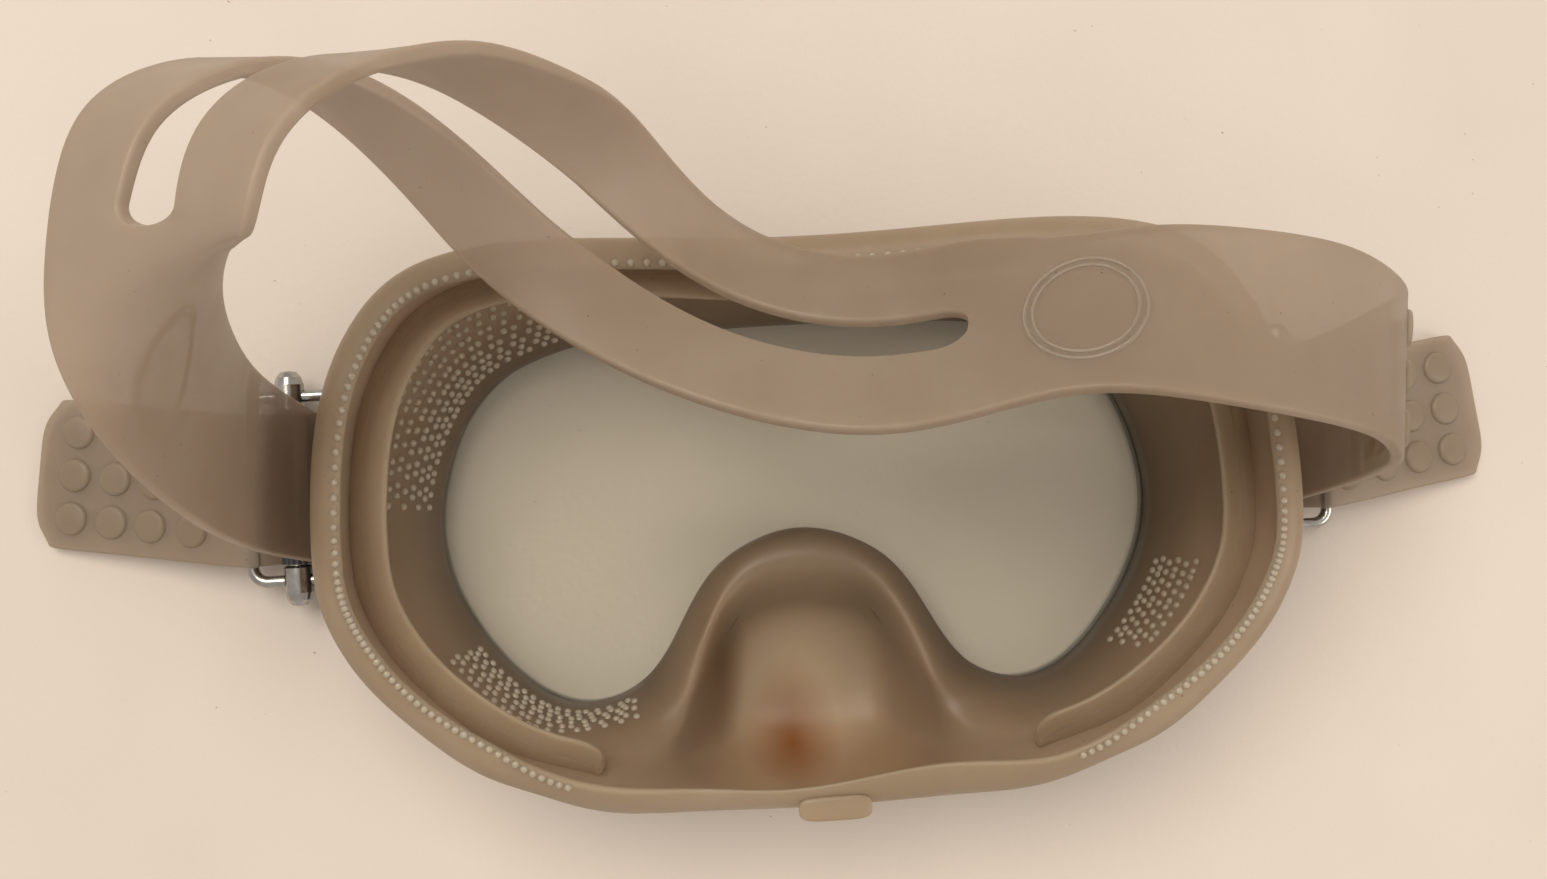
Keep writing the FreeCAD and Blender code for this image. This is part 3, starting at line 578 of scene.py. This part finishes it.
LEFT_TAIL, RIGHT_TAIL, TAIL_DRIFT, TIP_HEIGHT = 49.0, 42.0, 0.14, 1.6
STRAP_CORNER = 0.62
# Share of the tail's run, of the strap's width and of its thickness
TAIL_SHAPE = ((0.3, 1, 1), (0.6, 1, 1), (0.87, 1, 1), (0.93, 0.93, 0.9), (0.98, 0.7, 0.75), (1, 0.4, 0.6))


def buckle_stations(side, tail):
    """Middle, width direction, width and thickness of the strap from its free tip to the roller's inboard side."""
    wrap = SLEEVE_RADIUS + SLEEVE_RIB + STRAP_GAP + STRAP_THICK / 2
    hook = WIRE_RADIUS + STRAP_GAP + STRAP_THICK / 2
    climb = math.degrees(math.asin((wrap + hook) / (CROSSBAR_X - ROLLER_X)))
    rows = []
    for bar, radius, turns in ((ROLLER_X, wrap, (180, 207, 234, 261, 288, 270 + climb)),
                               (CROSSBAR_X, hook, (90 + climb, 108, 77))):
        for turn in np.radians(turns):
            rows.append((side * (bar + radius * math.cos(turn)), BUCKLE_Y, ROLLER_Z + radius * math.sin(turn),
                         0, 1, 0, STRAP_WIDTH, STRAP_THICK))
    x, _, z = rows[-1][:3]
    run = tail - (abs(x) - ROLLER_X)
    lean = math.hypot(1, TAIL_DRIFT)
    for share, width, wall in TAIL_SHAPE:
        fall = (z - TIP_HEIGHT) * (1 - (1 - share) ** 1.3)
        rows.append((x + side * share * run, BUCKLE_Y + TAIL_DRIFT * share * run, z - fall,
                     -side * TAIL_DRIFT / lean, 1 / lean, 0, STRAP_WIDTH * width, STRAP_THICK * wall))
    return rows[::-1]


def strap_stations():
    """All stations of the strap from the left tip to the right one, and how many come before the route."""
    rows = buckle_stations(-1, LEFT_TAIL)
    before = len(rows)
    for low, high, share in STRAP_ROUTE:
        low, high = np.array(low, float), np.array(high, float)
        rows.append((*((low + high) / 2), *unit(high - low), STRAP_WIDTH + (HEAD_WIDTH - STRAP_WIDTH) * share,
                     STRAP_THICK))
    rows += buckle_stations(1, RIGHT_TAIL)[::-1]
    return np.array(rows), before


def strap_columns():
    """Dense stations along the strap, closer together round the ends of the slot. The slot's half width is a quarter
    ellipse at each end, and it gapes at the end where the strap turns over."""
    stations, before = strap_stations()
    slot_from, slot_to = before + SLOT_FIRST, before + SLOT_LAST
    close = SLOT_END * np.linspace(0, 1, 14) ** 2
    ends = np.concatenate([slot_from + close, slot_to - close])
    place = np.union1d(np.round(np.arange(0, len(stations) - 1 + 1e-6, 0.125), 6), np.round(ends, 6))
    dense = open_curve(stations, place)
    centre, across, width, thick = dense[:, :3], unit(dense[:, 3:6]), dense[:, 6], dense[:, 7]
    travel = unit(np.gradient(centre, axis=0))
    face = unit(np.cross(travel, across))
    inside = np.minimum(place - slot_from, slot_to - place)
    spread = 1 + 0.4 * np.exp(-((place - slot_from) / 2.5) ** 2)
    slot = SLOT_WIDTH / 2 * spread * np.sqrt(np.clip(1 - (1 - np.clip(inside / SLOT_END, 0, 1)) ** 2, 0, 1))
    return place, before, centre, across, face, width, thick, slot


def half_section(width, thick, slot, sign):
    """Closed outline of one half of the strap's cross-section, in width and thickness: flat faces, rounded outer
    corners and rounded corners at the slot."""
    corner = STRAP_CORNER
    outer, level = width / 2, thick / 2
    arc = np.linspace(0, np.pi / 2, 5)
    top = np.linspace(0, 1, 7)
    rows = []
    slot_corner = np.minimum(corner, slot)
    for share in top:
        rows.append((slot + slot_corner + (outer - corner - slot - slot_corner) * share, level))
    for turn in arc[1:]:
        rows.append((outer - corner + corner * np.sin(turn), level - corner * (1 - np.cos(turn))))
    for turn in arc:
        rows.append((outer - corner + corner * np.cos(turn), -level + corner * (1 - np.sin(turn))))
    for share in top[::-1][1:]:
        rows.append((slot + slot_corner + (outer - corner - slot - slot_corner) * share, -level))
    for turn in arc[1:]:
        rows.append((slot + slot_corner * (1 - np.sin(turn)), -level + corner * (1 - np.cos(turn))))
    for turn in arc[:-1]:
        rows.append((slot + slot_corner * (1 - np.cos(turn)), level - corner * (1 - np.sin(turn))))
    wide = np.stack([np.broadcast_to(row[0], width.shape) for row in rows], axis=1)
    deep = np.stack([np.broadcast_to(row[1], width.shape) for row in rows], axis=1)
    return sign * wide, deep


SLOT_SIDE = 21  # first point of a half section's outline that lies on the slot's side


def strap_piece(name, first, last, columns):
    """Closed skin of the strap between two columns, open where the slot is."""
    centre, across, face, width, thick, slot = (item[first:last] for item in columns[2:])
    points, faces = [], []
    for sign in (-1, 1):
        wide, deep = half_section(width, thick, slot, sign)
        skin = centre[:, None] + across[:, None] * wide[..., None] + face[:, None] * deep[..., None]
        ring = skin.shape[1]
        start = sum(len(item) for item in points)
        quads = grid_faces(len(skin), ring, False, True)
        column, spot = quads[:, 0] // ring, quads[:, 0] % ring
        shut = (slot[column] < 1e-6) & (slot[np.minimum(column + 1, len(slot) - 1)] < 1e-6)
        quads = quads[~(shut & (spot >= SLOT_SIDE))]
        if sign < 0:
            quads = quads[:, ::-1]
        faces += [tuple(quad) for quad in quads + start]
        caps = [np.arange(ring), np.arange(ring) + (len(skin) - 1) * ring]
        faces += [tuple(caps[0][::sign] + start), tuple(caps[1][::-sign] + start)]
        points.append(skin.reshape(-1, 3))
    piece = make_piece(name, np.concatenate(points), faces, STRAP_SILICONE, body=None, slot="strap_silicone")
    mesh = bmesh.new()
    mesh.from_mesh(piece.data)
    bmesh.ops.remove_doubles(mesh, verts=mesh.verts, dist=1e-7)
    bmesh.ops.recalc_face_normals(mesh, faces=mesh.faces)
    mesh.to_mesh(piece.data)
    mesh.free()
    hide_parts("head_strap")
    return piece


columns = strap_columns()
place, before = columns[0], columns[1]
tail_end = place[-1]
# Seams of the strap in stations: on the riser, at its foot and under the roller
seam_high, riser_foot, under_roller = before + 0.25, before - 0.65, before - 4.4


def column_at(row):
    """Dense column at a station."""
    return int(np.searchsorted(place, row))


left_seam, right_seam = column_at(seam_high), column_at(tail_end - seam_high)
head_band = strap_piece("head_band", left_seam, right_seam + 1, columns)
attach(head_band, "mask")
for side, word in ((-1, "left"), (1, "right")):
    cuts = [left_seam, column_at(riser_foot), column_at(under_roller), 0]
    if side > 0:
        cuts = [right_seam, column_at(tail_end - riser_foot), column_at(tail_end - under_roller), len(place) - 1]
    bail, shaft = f"{word}_bail", f"{word}_shaft"
    moves = ((f"{word}_riser", "mask", bail, (side * 0.092, 0.01, 0.042), (side * 0.092, 0.01, 0.022)),
             (f"{word}_roller_wrap", bail, shaft, (side * 0.0905, 0.009, 0.020), (side * 0.0905, 0.009, 0.012)),
             (f"{word}_strap_tail", bail, shaft, (side * 0.1025, 0.009, 0.008), (side * 0.0965, 0.009, 0.008)))
    for index, (name, still, moving, start, end) in enumerate(moves):
        first, last = sorted(cuts[index:index + 2])
        piece = strap_piece(name, first, last + 1, columns)
        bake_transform(piece)


STUD_PITCH, STUD_RADIUS, STUD_HEIGHT = 8.2, 3.2, 0.8
# Stations of the two bare badges, the radii of their two rings, and the ridge's section
BADGE_STATIONS, BADGE_RADII = (2.2, 17.15), (8.9, 7.7)
BADGE_RIDGE = [(-0.32, -0.12), (-0.2, 0.16), (0, 0.24), (0.2, 0.16), (0.32, -0.12)]


def strap_frame(distance):
    """Middle, width direction and outer side of the strap at distances along it in millimetres."""
    _, _, centre, across, face, _, thick, _ = columns
    lengths = np.concatenate([[0], np.cumsum(np.linalg.norm(np.diff(centre, axis=0), axis=1))])
    read = [np.stack([np.interp(distance, lengths, item[:, axis]) for axis in range(3)], axis=-1)
            for item in (centre, across, face)]
    return read[0], unit(read[1]), unit(read[2]), np.interp(distance, lengths, thick), lengths


def stud_rows(start, count):
    """Middles and directions of three square rows of studs along the strap from a distance."""
    along = np.repeat(start + STUD_PITCH * np.arange(count), 3)
    offset = np.tile([-STUD_PITCH, 0, STUD_PITCH], count)
    centre, across, face, thick, _ = strap_frame(along)
    return centre + across * offset[:, None] + face * thick[:, None] / 2, face


def ring_band(distance, radius):
    """Low raised ring on the strap's outer side: a rounded ridge carried round a circle drawn on the strap."""
    turns = np.arange(96) * 2 * np.pi / 96
    rows = []
    for shift, lift in BADGE_RIDGE:
        along = distance + (radius + shift) * np.cos(turns)
        centre, across, face, thick, _ = strap_frame(along)
        rows.append(centre + across * ((radius + shift) * np.sin(turns))[:, None]
                    + face * (thick / 2 + lift)[:, None])
    return np.array(rows)


lengths = strap_frame(np.zeros(1))[4]
TIP_MARGIN, SEAM_MARGIN = 7.5, 5
left_studs = stud_rows(TIP_MARGIN, 4)
right_studs = stud_rows(lengths[-1] - TIP_MARGIN - 3 * STUD_PITCH, 4)
bend_studs = stud_rows(lengths[right_seam] - SEAM_MARGIN - 2 * STUD_PITCH, 3)
for name, studs, body in (("left_tail_studs", left_studs, "left_bail"), ("right_tail_studs", right_studs, "right_bail"),
                          ("riser_studs", bend_studs, "mask")):
    domes(name, *studs, STUD_RADIUS, STUD_HEIGHT, STRAP_SILICONE, profile=STUD, sides=24, body=body,
          slot="strap_silicone")
for index, station in enumerate(BADGE_STATIONS):
    spot = lengths[column_at(before + station)]
    for order, radius in enumerate(BADGE_RADII):
        rows = ring_band(spot, radius)
        make_piece(f"badge_ring_{index}_{order}", rows, grid_faces(len(rows), 96, True, True), STRAP_SILICONE,
                   slot="strap_silicone")


# Floor, light and camera

def floor():
    """Pale worn tabletop with a faint grain and specks."""
    finish = Finish("pale_floor").set(IOR=1.45, Roughness=0.75)
    tone = finish.ramp(finish.noise(5, 4, 0.6), (0.3, (0.66, 0.585, 0.52)), (0.7, (0.74, 0.665, 0.60)))
    specks = finish.ramp(finish.noise(420, 2, 0.8), (0.74, (1, 1, 1)), (0.78, (0.35, 0.25, 0.2)))
    finish.colour(finish.mix(0.7, tone, specks, "MULTIPLY"))
    finish.bump(finish.noise(700, 2), 0.25, 0.0003)
    points = 4000 * np.array([(-1, -1, 0), (1, -1, 0), (1, 1, 0), (-1, 1, 0)], float)
    piece = make_piece("floor", points, [(0, 1, 2, 3)], finish.material, body=None)


def area_light(name, place, target, size, power, colour):
    """Soft round lamp that faces a target, in metres and watts."""
    data = bpy.data.lights.new(name, "AREA")
    data.shape = "DISK"
    data.size = size
    data.energy = power
    data.color = colour
    lamp = bpy.data.objects.new(name, data)
    lamp.matrix_world = (Matrix.Translation(place)
                         @ (Vector(place) - Vector(target)).to_track_quat("Z", "Y").to_matrix().to_4x4())
    bpy.context.scene.collection.objects.link(lamp)


def light():
    """Warm even room light, a soft lamp over the mask and a weaker one from the right."""
    world = bpy.data.worlds.new("room")
    world.use_nodes = True
    background = world.node_tree.nodes["Background"]
    background.inputs["Color"].default_value = (1.0, 0.93, 0.85, 1)
    background.inputs["Strength"].default_value = 0.55
    bpy.context.scene.world = world
    area_light("ceiling", (-0.25, 0.45, 1.1), (0, 0, 0.03), 0.7, 9, (1.0, 0.92, 0.82))
    area_light("side", (0.9, -0.3, 0.7), (0, 0, 0.03), 0.6, 3, (1.0, 0.9, 0.78))


def camera():
    """Camera at the photograph's place, almost straight over the mask."""
    data = bpy.data.cameras.new("camera")
    data.sensor_width = 36
    data.lens = 1551 / 1547 * 36
    data.clip_start = 0.01
    eye = bpy.data.objects.new("camera", data)
    turn = Matrix.Rotation(math.radians(-3), 4, "Z") @ Matrix.Rotation(math.radians(-3), 4, "Y")
    eye.matrix_world = Matrix.Translation((-0.0195, 0.0143, 0.304)) @ turn
    bpy.context.scene.collection.objects.link(eye)
    bpy.context.scene.camera = eye


floor()
light()
camera()
bpy.context.scene.view_settings.view_transform = "Standard"
